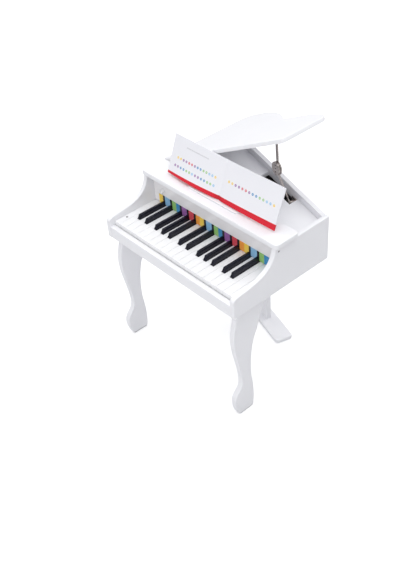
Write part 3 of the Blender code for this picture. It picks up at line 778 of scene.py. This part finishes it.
# %% The strip and its print
NOTE_COLOURS = {
    "C": (0.90, 0.62, 0.07),
    "D": (0.26, 0.52, 0.78),
    "E": (0.28, 0.55, 0.16),
    "F": (0.025, 0.25, 0.53),
    "G": (0.30, 0.11, 0.36),
    "A": (0.68, 0.06, 0.09),
    "B": (0.90, 0.33, 0.04),
}
SCALE = "CDEFGAB"
BAR_HALF = 4.0 * MM


def stepped_ramp(graph, factor, starts, colours):
    """A colour ramp that holds each colour from its start to the next."""
    node = graph.add("ShaderNodeValToRGB", Fac=factor)
    ramp = node.color_ramp
    ramp.interpolation = "CONSTANT"
    while len(ramp.elements) < len(starts):
        ramp.elements.new(0.5)
    for element, start in zip(ramp.elements, starts):
        element.position = start
    for element, colour in zip(ramp.elements, colours):
        element.color = (*colour, 1)
    return node.outputs["Color"]


def label_material(low_x, high_x):
    made, graph, shader = new_material("label_print", Specular_IOR_Level=0.3)
    where = graph.place()
    across = graph.add("ShaderNodeSeparateXYZ", Vector=where).outputs["X"]
    ends = {"From_Min": low_x, "From_Max": high_x}
    share = graph.add("ShaderNodeMapRange", Value=across, **ends).outputs["Result"]
    count = len(white_keys)
    notes = [NOTE_COLOURS[SCALE[i % 7]] for i in range(count)]
    colours = stepped_ramp(graph, share, np.arange(count) / count, notes)
    middles = [sum(span_of(node)[i][0] for i in (0, 1)) / 2 for node in black_keys]
    bars = np.add.outer(np.array(middles), [-BAR_HALF, BAR_HALF]).ravel()
    starts = np.concatenate([[0], (bars - low_x) / (high_x - low_x)])
    steps = [(float(i % 2),) * 3 for i in range(len(starts))]
    is_bar = stepped_ramp(graph, share, starts, steps)
    ink = graph.noise(where, 900.0, 2.0)
    printed = graph.blend(graph.spread(ink, 0.0, 0.05), colours, (0.9, 0.9, 0.9))
    colour = graph.blend(is_bar, printed, (0.008, 0.008, 0.012))
    rough = graph.spread(graph.noise(where, 60.0), 0.22, 0.36)
    normal = graph.bump(ink, 0.3, 0.00001)
    connect(graph, shader, Base_Color=colour, Roughness=rough, Normal=normal)
    return made


low, high = span_of("label_strip", FRONT)
strip = board_shell(rectangle(low, high), low[2], high[2], 0.15 * MM, FRONT, 2)
print_on_strip = label_material(low[0], high[0])
piece("label_strip_printed", [strip], print_on_strip, "case", ["label_strip"])

# %% [markdown]
# ## Volume knob
#
# A small white knob turns on a shaft through the fascia. It is turned in profile: a flat skirt, a
# finely tapered side and a softly crowned face, with a raised pointer.

# %% Turn the knob
KNOB_PROFILE = [
    (0.3, 0.0), (0.98, 0.0), (1.0, 0.06), (1.0, 0.16), (0.93, 0.2), (0.88, 0.8), (0.84, 0.92), (0.74, 0.985),
]
SHAFT_RADIUS = 2.4 * MM
SHAFT_LENGTH = 18 * MM

low, high = edges_of("volume_knob")
points = points_of("volume_knob")
reach = (high[0] - low[0]) / 2
centre = (low + high) / 2
from_axis = np.hypot(points[:, 0] - centre[0], points[:, 2] - centre[2])
centre[1] = points[from_axis > 0.9 * reach][:, 1].max()
depth = centre[1] - low[1]
crown = [(r, 1.0 - 0.03 * (r / 0.74) ** 2 + 0.015) for r in (0.6, 0.4, 0.2, 0.03)]
profile = np.array(KNOB_PROFILE + crown) * [reach, depth]
knob = turned_shell(profile, centre, FRONT[1][2], 40)
shaft_profile = [(0.2 * MM, -SHAFT_LENGTH), (SHAFT_RADIUS, -SHAFT_LENGTH)]
shaft_profile += [(SHAFT_RADIUS, 1 * MM), (0.2 * MM, 1 * MM)]
shaft = turned_shell(shaft_profile, centre, FRONT[1][2], 20)
piece("volume_knob_turned", [knob, shaft], key_white, "volume_knob", ["volume_knob"])
pointer_outline = rectangle((-0.35 * MM, 1.6 * MM), (0.35 * MM, 4.6 * MM))
pointer = board_shell(pointer_outline, depth * 0.9, depth * 1.01, 0.08 * MM, (centre, FRONT[1]), 1)
piece("volume_knob_pointer", [pointer], shade_and_pointer_dark, "volume_knob")

# %% [markdown]
# ## Music rest
#
# The book stands on a low strip with round ends, and leans on a small board behind it. The board's
# lean is the book's own, measured from the back of its solid.

# %% Strip and leaning back
book = points_of("song_book")
book_foot = book[book[:, 2].argmin()]
book_head = book[book[:, 1].argmax()]
lean = math.atan2(book_head[1] - book_foot[1], book_head[2] - book_foot[2])
low, high = edges_of("music_rest")
strip_outline = loop_of("music_rest", FLAT, low[2])
strip_height = np.unique(points_of("music_rest")[:, 2].round(5))
strip_height = strip_height[strip_height < low[2] + 4 * MM].max()
strip = board_shell(strip_outline, low[2], strip_height, 1.0 * MM)

plate_points = points_of("music_rest")
plate_points = plate_points[plate_points[:, 2] > strip_height + 5 * MM]
sine, cosine = math.sin(lean), math.cos(lean)
leaning = np.array([[1, 0, 0], [0, sine, cosine], [0, -cosine, sine]])
LEAN = (np.array([0, book_foot[1], book_foot[2]]), leaning)
plate = in_lay(plate_points, LEAN)
plate_outline = rectangle((plate[:, 0].min(), -1 * MM), (plate[:, 0].max(), plate[:, 1].min()))
front_face = in_lay(plate_points[plate_points[:, 1].argsort()[:2]], LEAN)[:, 2].max()
back_shell = board_shell(plate_outline, front_face - 5.4 * MM, front_face, 0.8 * MM, LEAN, corner=6 * MM)
piece("music_rest_boards", [strip, back_shell], white_paint, "case", ["music_rest"])
print("book leans back", round(math.degrees(lean), 1), "degrees")

# %% [markdown]
# ## The open song book
#
# An open book isn't flat. Each page leaves the fold steeply and then runs level, which a saturating
# curve gives: depth = rise * (1 - exp(-distance from the fold / 7 mm)). The block of pages is a
# little thinner at its outer edges, and the feet of the pages bow towards the player, the left
# ones more: half a sine wave across each page, which fades with height. `shell_of_two_grids` closes
# the front and the back grid into one shell.


# %% A book block from two grids
FOLD_REACH = 7 * MM
BOW_LEFT = 6.5 * MM
BOW_RIGHT = 2.0 * MM


def shell_of_two_grids(front, back):
    """Rings round a sheet: ring i runs up the front at column i and down the back."""
    rings = np.concatenate([front, back[:, ::-1]], axis=1)
    return shell_from_rings(rings)


span = in_lay(book, LEAN)
left, right = span[:, 0].min(), span[:, 0].max()
bottom, top = span[:, 1].min(), span[:, 1].max()
thick = span[:, 2].max() - 0.1 * MM
fold = (left + right) / 2
spread = np.linspace(-1, 1, 61)
half = right - fold
columns = fold + half * np.sign(spread) * np.abs(spread) ** 1.6
rows = np.linspace(0, 1, 13)
share = np.abs(columns - fold) / half
depth = thick * (0.28 + 0.72 * (1 - np.exp(-share * half / FOLD_REACH))) * (1 - 0.12 * share**2)
bow = np.where(columns < fold, BOW_LEFT, BOW_RIGHT) * np.sin(np.pi * share)
depth = depth[:, None] + bow[:, None] * (1 - rows[None, :]) ** 3
dip = 0.8 * MM * (1 - share)
height = bottom + 0.2 * MM + rows[None, :] * (top - bottom - 0.4 * MM - dip[:, None])
front = np.stack([np.broadcast_to(columns[:, None], height.shape), height, depth], axis=-1)
back = front.copy()
back[:, :, 2] = 0.15 * MM
points, faces = shell_of_two_grids(front, back)
book_shell = (from_lay(points, LEAN), faces)

# %% [markdown]
# ## Print on the pages
#
# A song for beginners is printed as rows of coloured dots, one per note, over a red band at the
# foot of the pages. The print is a pattern in the shader that reads the book's own UV map: U is the
# distance from the fold in metres, and V the height on the page, both times ten. For a row of
# dots, the place along the row is cut into equal cells; the distance from the middle of each cell
# makes the disc, and a stepped ramp gives the cell its colour.

# %% Page print
UV_PER_METRE = 10.0
DOT_ROWS = [
    (-163 * MM, 10.7 * MM, 49 * MM, "CCGGAAGFFEEDDC"),
    (-167.5 * MM, 11.1 * MM, 27.5 * MM, "GGFFEEDGGFFEED"),
    (22 * MM, 11.5 * MM, 55 * MM, "CCGGAAGFFEEDDC"),
]
DOT_RADIUS = 3.3 * MM
DOT_CENTRE = 1.2 * MM
TITLE_ACROSS = (-141 * MM, -58 * MM)
TITLE_UP = (81 * MM, 84 * MM)
BAND_TOP = 11 * MM


def dot_row(graph, u, v, start, step, height, notes):
    """A mask of discs in a row, the mask of their light centres, and the row's colours."""
    width = step * len(notes) * UV_PER_METRE
    left_end = (start - step / 2) * UV_PER_METRE
    along = graph.math("DIVIDE", graph.math("SUBTRACT", u, left_end), width)
    cell = graph.math("FRACT", graph.math("MULTIPLY", along, float(len(notes))))
    beside = graph.math("MULTIPLY", graph.math("SUBTRACT", cell, 0.5), step * UV_PER_METRE)
    above = graph.math("SUBTRACT", v, height * UV_PER_METRE)
    squares = graph.math("MULTIPLY_ADD", beside, beside, graph.math("MULTIPLY", above, above))
    distance = graph.math("SQRT", squares)
    inside = graph.math("COMPARE", along, 0.5, 0.5)
    disc, centre = (
        graph.math("MULTIPLY", graph.math("LESS_THAN", distance, radius * UV_PER_METRE), inside)
        for radius in (DOT_RADIUS, DOT_CENTRE)
    )
    colours = stepped_ramp(
        graph, along, np.arange(len(notes)) / len(notes), [NOTE_COLOURS[note] for note in notes]
    )
    return disc, centre, colours


def page_material():
    made, graph, shader = new_material("printed_pages", Specular_IOR_Level=0.25)
    where = graph.add("ShaderNodeUVMap", {"uv_map": "pages"}).outputs["UV"]
    parts = graph.add("ShaderNodeSeparateXYZ", Vector=where)
    u, v = parts.outputs["X"], parts.outputs["Y"]
    place = graph.place()
    fibre = graph.noise(place, 350.0, 4.0, 0.6)
    # Painted shade: the red band is darker towards the fold, standing for shade where the pages curve away from
    # the light.
    fade = {"From_Max": 20 * MM * UV_PER_METRE, "To_Min": 0.55, "To_Max": 0.0}
    fold_painted_shade = graph.add("ShaderNodeMapRange", Value=graph.math("ABSOLUTE", u), **fade).outputs["Result"]
    paper = graph.blend(fibre, (0.80, 0.80, 0.84), (0.84, 0.84, 0.875))
    colour = paper
    for start, step, height, notes in DOT_ROWS:
        disc, centre, inks = dot_row(graph, u, v, start, step, height, notes)
        colour = graph.blend(graph.math("MULTIPLY", disc, 0.92), colour, inks)
        colour = graph.blend(graph.math("MULTIPLY", centre, 0.65), colour, (0.85, 0.85, 0.86))
    on_title = [
        graph.math("COMPARE", value, (low + high) / 2 * UV_PER_METRE, (high - low) / 2 * UV_PER_METRE)
        for value, (low, high) in ((u, TITLE_ACROSS), (v, TITLE_UP))
    ]
    dashes = graph.math("GREATER_THAN", graph.noise(where, 60.0, 0.0), 0.42)
    lettering = graph.math("MULTIPLY", graph.math("MULTIPLY", *on_title), dashes)
    colour = graph.blend(graph.math("MULTIPLY", lettering, 0.35), colour, (0.2, 0.2, 0.22))
    band_top = graph.math("MULTIPLY_ADD", u, 0.022, BAND_TOP * UV_PER_METRE)
    is_band = graph.math("LESS_THAN", v, band_top)
    # The darker red is painted shade near the fold; the lighter red is the band's own colour.
    red = graph.blend(fold_painted_shade, (0.66, 0.018, 0.035), (0.40, 0.002, 0.008))
    colour = graph.blend(is_band, colour, red)
    rough = graph.spread(fibre, 0.42, 0.55)
    normal = graph.bump(fibre, 0.35, 0.00002)
    connect(graph, shader, Base_Color=colour, Roughness=rough, Normal=normal)
    return made


song_book = piece("song_book_open", [book_shell], page_material(), "case", ["song_book"])
uv = song_book.data.uv_layers.new(name="pages")
corner_points = np.empty(len(song_book.data.loops), np.int32)
song_book.data.loops.foreach_get("vertex_index", corner_points)
local = in_lay(np.array([vertex.co for vertex in song_book.data.vertices]), LEAN)
page_uv = (local[:, :2] - [fold, bottom]) * UV_PER_METRE
uv.data.foreach_set("uv", page_uv[corner_points].astype(np.float32).ravel())
print("book", ((right - left) / MM).round(), "by", ((top - bottom) / MM).round(), "mm")

# %% [markdown]
# ## The folding stay
#
# Two flat arms meet at a thick round hub with a rim and three small holes, drawn as dark discs of
# painted shade. Each arm is a bar with round ends, so its outline is two half circles; the hub is
# turned. Both lie in planes along the slanted wall. The arms' centres come from the solids: the
# points on the outermost face of a disc are a ring round the hub's centre.


# %% Arms and hub
def capsule(start, end, start_radius, end_radius, steps=12):
    """Two half circles joined by straight edges."""
    along = np.asarray(end, float) - np.asarray(start, float)
    heading = math.atan2(along[1], along[0])
    first = heading + np.linspace(np.pi / 2, 3 * np.pi / 2, steps)
    last = heading + np.linspace(-np.pi / 2, np.pi / 2, steps)
    at_start = np.asarray(start) + start_radius * np.column_stack([np.cos(first), np.sin(first)])
    at_end = np.asarray(end) + end_radius * np.column_stack([np.cos(last), np.sin(last)])
    return np.concatenate([at_start, at_end])


def rivet(centre, radius, height, lay):
    """A domed rivet head on a face of the lay, whose third value is the height of that face."""
    share = np.linspace(1, 0.05, 6)
    profile = np.column_stack([share * radius, height * np.sqrt(1.02 - share**2)])
    profile = np.concatenate([[[0.05 * radius, -0.2 * MM], [radius, -0.2 * MM]], profile])
    return turned_shell(profile, from_lay(centre, lay), lay[1][2], 20)


def wall_disc(profile, middle, back, radius, thickness):
    """A disc turned along the wall's lay: the profile is given in shares of radius and thickness."""
    centre = from_lay((middle[0], middle[1], back), WALL)
    return turned_shell(np.array(profile) * [radius, thickness], centre, WALL[1][2], 48)


HUB_FLOOR = 0.84
HUB_RIM = [
    (0.05, 0.0), (0.97, 0.0), (1.0, 0.08), (1.0, 0.86), (0.97, 0.97), (0.92, 1.0), (0.86, 0.98), (0.83, 0.88),
    (0.80, HUB_FLOOR), (0.4, HUB_FLOOR), (0.05, HUB_FLOOR),
]
DISC_RIM = [(0.05, 0.0), (0.94, 0.0), (1.0, 0.15), (1.0, 0.85), (0.94, 1.0), (0.05, 1.0)]
LOWER_ENDS = (5.8 * MM, 5.2 * MM)
UPPER_ENDS = (4.8 * MM, 5.3 * MM)
HOLE = [(0.1 * MM, -0.3 * MM), (2.0 * MM, -0.3 * MM), (2.0 * MM, 0.06 * MM), (0.1 * MM, 0.06 * MM)]

lower = in_lay(points_of("stay_lower_arm"), WALL)
hub_back, hub_face = lower[:, 2].min(), lower[:, 2].max()
on_face = lower[np.abs(lower[:, 2] - hub_face) < FLUSH]
hub = on_face.mean(axis=0)
hub_radius = np.ptp(on_face[:, 1]) / 2
hub_disc = wall_disc(HUB_RIM, hub, hub_back, hub_radius, hub_face - hub_back)
foot = in_lay(np.array([joints["stay_lower_turn"]["pos_m"]]), WALL)[0]
arm_back, arm_front = foot[2] + 1.0 * MM, foot[2] + 3.5 * MM
arm = board_shell(capsule(foot[:2], hub[:2], *LOWER_ENDS), arm_back, arm_front, 0.4 * MM, WALL, 2)
foot_rivet = rivet((foot[0], foot[1], arm_front), 3.4 * MM, 1.4 * MM, WALL)
lower_shells = [hub_disc, arm, foot_rivet]
piece("stay_lower_arm_plated", lower_shells, nickel, "stay_lower", ["stay_lower_arm"])
hub_floor = hub_back + HUB_FLOOR * (hub_face - hub_back)
# Painted shade: the three holes are dark discs on the hub floor, in place of the shade inside real holes.
holes = []
for step in (-1, 0, 1):
    spot = (hub[0] - step * 0.05 * hub_radius, hub[1] + step * 0.5 * hub_radius, hub_floor)
    holes.append(turned_shell(HOLE, from_lay(spot, WALL), WALL[1][2], 20))
piece("stay_hub_holes", holes, shade_and_pointer_dark, "stay_lower")

upper = in_lay(points_of("stay_upper_arm"), WALL)
disc_back, disc_face = upper[:, 2].min(), upper[:, 2].max()
on_back = upper[np.abs(upper[:, 2] - disc_back) < FLUSH]
disc = on_back.mean(axis=0)
disc_radius = np.ptp(on_back[:, 1]) / 2
disc_shell = wall_disc(DISC_RIM, disc, disc_back, disc_radius, disc_face - disc_back)
head = in_lay(np.array([joints["stay_upper_turn"]["pos_m"]]), WALL)[0]
rod_back, rod_front = head[2] - 3.3 * MM, head[2] - 0.3 * MM
rod = board_shell(capsule(head[:2], disc[:2], *UPPER_ENDS), rod_back, rod_front, 0.5 * MM, WALL, 2)
piece("stay_upper_arm_plated", [disc_shell, rod], nickel, "stay_upper", ["stay_upper_arm"])
lengths = [np.linalg.norm(hub[:2] - foot[:2]), np.linalg.norm(disc[:2] - head[:2])]
print("stay arms", (np.array(lengths) / MM).round(1), "mm")

# %% [markdown]
# ## Parts that keep their own shape
#
# The hinge, the brackets, the pivot rod and the parts inside the case are already the right shape,
# so each solid only gets its finish. The sunk base board keeps its holes for the same reason.

# %% Finishes on the remaining solids
HINGE = ("lid_hinge_case_leaf", "lid_hinge_lid_leaf", "lid_hinge_pin")
BRACKETS = ("stay_case_bracket", "stay_lid_bracket")
FINISHES = [
    (white_paint, ["bottom_board"]),
    (nickel, ["key_pivot_rod", *HINGE, *BRACKETS]),
    (grey_rubber, ["key_contact_strip"]),
    (board_green, ["circuit_board"]),
    (dark_plastic, ["speaker", "battery_box"]),
]
for finish, kept_nodes in FINISHES:
    for node in kept_nodes:
        nodes[node].data.materials.clear()
        nodes[node].data.materials.append(finish)
print(sum(len(kept_nodes) for _, kept_nodes in FINISHES), "solids keep their shape")

# %% [markdown]
# ## Small things that hold it together
#
# A cross-head screw shows near the top of each side panel, and two soft buffers under the lid keep
# paint from meeting paint when it shuts.

# %% Screws and buffers
SCREW_BACK = 147 * MM
SCREW_DOWN = 10 * MM
low, high = edges_of("side_panel_right")
for name, side in (("right", 1), ("left", -1)):
    spot = (side * high[0] - 0.4 * MM, low[1] + SCREW_BACK, high[2] - SCREW_DOWN)
    screw(f"side_screw_{name}", spot, (side, 0, 0), 2.6 * MM, "case")

BUFFER_RADIUS = 5 * MM
BUFFER_HEIGHT = 1.8 * MM
BUFFER_PLACES = (40 * MM, 95 * MM)
BUFFER_IN = 16 * MM
lid_low, lid_high = span_of("lid", LID)
share = np.array([(0.05, 0), (0.9, 0), (1, 0.15), (1, 0.7), (0.85, 0.95), (0.5, 1.0), (0.05, 1.0)])
profile = share * [BUFFER_RADIUS, BUFFER_HEIGHT]
for number, place in enumerate(BUFFER_PLACES, 1):
    centre = from_lay((lid_high[0] - BUFFER_IN, lid_low[1] + place, lid_low[2]), LID)
    buffer = turned_shell(profile, centre, -LID[1][2], 24)
    piece(f"lid_buffer_{number}", [buffer], grey_rubber, "lid")

# %% [markdown]
# ## Floor, light and camera
#
# A product on white wants a pale floor that runs out of sight, an even surround and soft lights from
# all round: above, beside the camera, left, behind and low in front. The tops come out brightest and
# the right side a shade darker. The floor and the surround are brighter for camera rays alone, the
# floor more so further out, so that they run together in white while little light comes up from the
# floor to the underside of the piano.

# %% Floor
FLOOR_REACH = 8.0
FLOOR_DROP = 0.3 * MM
floor_paint, graph, shader = new_material("floor", Roughness=0.9, Emission_Color=(1, 1, 1, 1))
where = graph.place()
tone = graph.blend(graph.noise(where, 1.5, 2.0), (0.70, 0.70, 0.71), (0.73, 0.73, 0.74))
reach = graph.add("ShaderNodeVectorMath", {"operation": "LENGTH"}, Vector=where).outputs["Value"]
rise = {"From_Min": 0.8, "From_Max": 3.0, "To_Min": 0.42, "To_Max": 1.1}
far = graph.add("ShaderNodeMapRange", Value=reach, **rise)
seen = graph.add("ShaderNodeLightPath").outputs["Is Camera Ray"]
glow = graph.math("MULTIPLY", seen, far.outputs["Result"])
connect(graph, shader, Base_Color=tone, Emission_Strength=glow)
outline = rectangle((-FLOOR_REACH, -FLOOR_REACH), (FLOOR_REACH, FLOOR_REACH))
corners = np.column_stack([outline, np.full(4, -FLOOR_DROP)])
mesh = bpy.data.meshes.new("floor")
mesh.from_pydata(corners, [], [[0, 1, 2, 3]])
mesh.materials.append(floor_paint)
floor = bpy.data.objects.new("floor", mesh)
bpy.context.collection.objects.link(floor)
floor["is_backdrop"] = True


# %% Lights
def aimed(spot, ahead, side):
    """A matrix that puts a light or a camera at spot, looking ahead, with side on its right."""
    table = np.eye(4)
    table[:3] = np.column_stack([side, np.cross(side, ahead), -ahead, spot])
    return table.T.tolist()


def softbox(name, spot, size, power):
    """A square area light that faces the middle of the piano."""
    light = bpy.data.lights.new(name, "AREA")
    light.size = size
    light.energy = power
    made = bpy.data.objects.new(name, light)
    bpy.context.collection.objects.link(made)
    ahead = MIDDLE - spot
    ahead /= np.linalg.norm(ahead)
    side = np.cross(ahead, up)
    made.matrix_world = aimed(spot, ahead, side / np.linalg.norm(side))


MIDDLE = np.array([0, 0, 0.4])
SURROUND = 0.52
CAMERA_LIFT = 0.8
world = bpy.data.worlds.new("studio")
bpy.context.scene.world = world
world.use_nodes = True
surround = world.node_tree.nodes["Background"]
surround.inputs["Color"].default_value = (0.97, 0.98, 1.0, 1)
graph = Graph(world.node_tree)
seen = graph.add("ShaderNodeLightPath").outputs["Is Camera Ray"]
strength = graph.math("MULTIPLY_ADD", seen, CAMERA_LIFT, SURROUND)
world.node_tree.links.new(strength, surround.inputs["Strength"])
softbox("top_light", (0, 0.1, 2.8), 2.4, 33.0)
softbox("camera_light", (1.6, -1.7, 2.3), 1.6, 18.0)
softbox("left_light", (-2.8, 0.2, 1.6), 2.0, 20.0)
softbox("back_light", (0.6, 2.6, 2.4), 2.0, 32.0)
softbox("low_light", (0.3, -2.4, 0.95), 1.2, 9.0)
bpy.context.scene.view_settings.view_transform = "Standard"

# %% [markdown]
# The camera looks down from the front right and is tilted a little about its own axis. Its
# direction is given as the heading round the piano, the angle below the horizon and that tilt.

# %% Camera
CAMERA_SPOT = (1.2755, -1.1823, 1.5957)
HEADING = math.radians(141.277)
BELOW_HORIZON = math.radians(39.450)
TILT = math.radians(-4.851)
LENS = 51.52
SENSOR_WIDTH = 36.0

flat = math.cos(BELOW_HORIZON)
ahead = np.array([flat * math.cos(HEADING), flat * math.sin(HEADING), -math.sin(BELOW_HORIZON)])
level = np.cross(ahead, up) / flat
side = math.cos(TILT) * level + math.sin(TILT) * np.cross(level, ahead)
camera_data = bpy.data.cameras.new("camera")
camera_data.lens = LENS
camera_data.sensor_width = SENSOR_WIDTH
camera = bpy.data.objects.new("camera", camera_data)
bpy.context.collection.objects.link(camera)
camera.matrix_world = aimed(CAMERA_SPOT, ahead, side)
bpy.context.scene.camera = camera

# %% [markdown]
# ## Compare the dressed piano with the solids
#
# The dressed pieces must fill the same box as the solids they stand for. The growth of the dressed
# box over the box of the solids is printed.

# %% Measure the two boxes and print the growth
dressed_box = [list(corner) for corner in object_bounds()]
growth = (np.array(dressed_box) - np.array(cad_box)) / MM
print("growth of the box, mm:", growth.round(2).tolist())
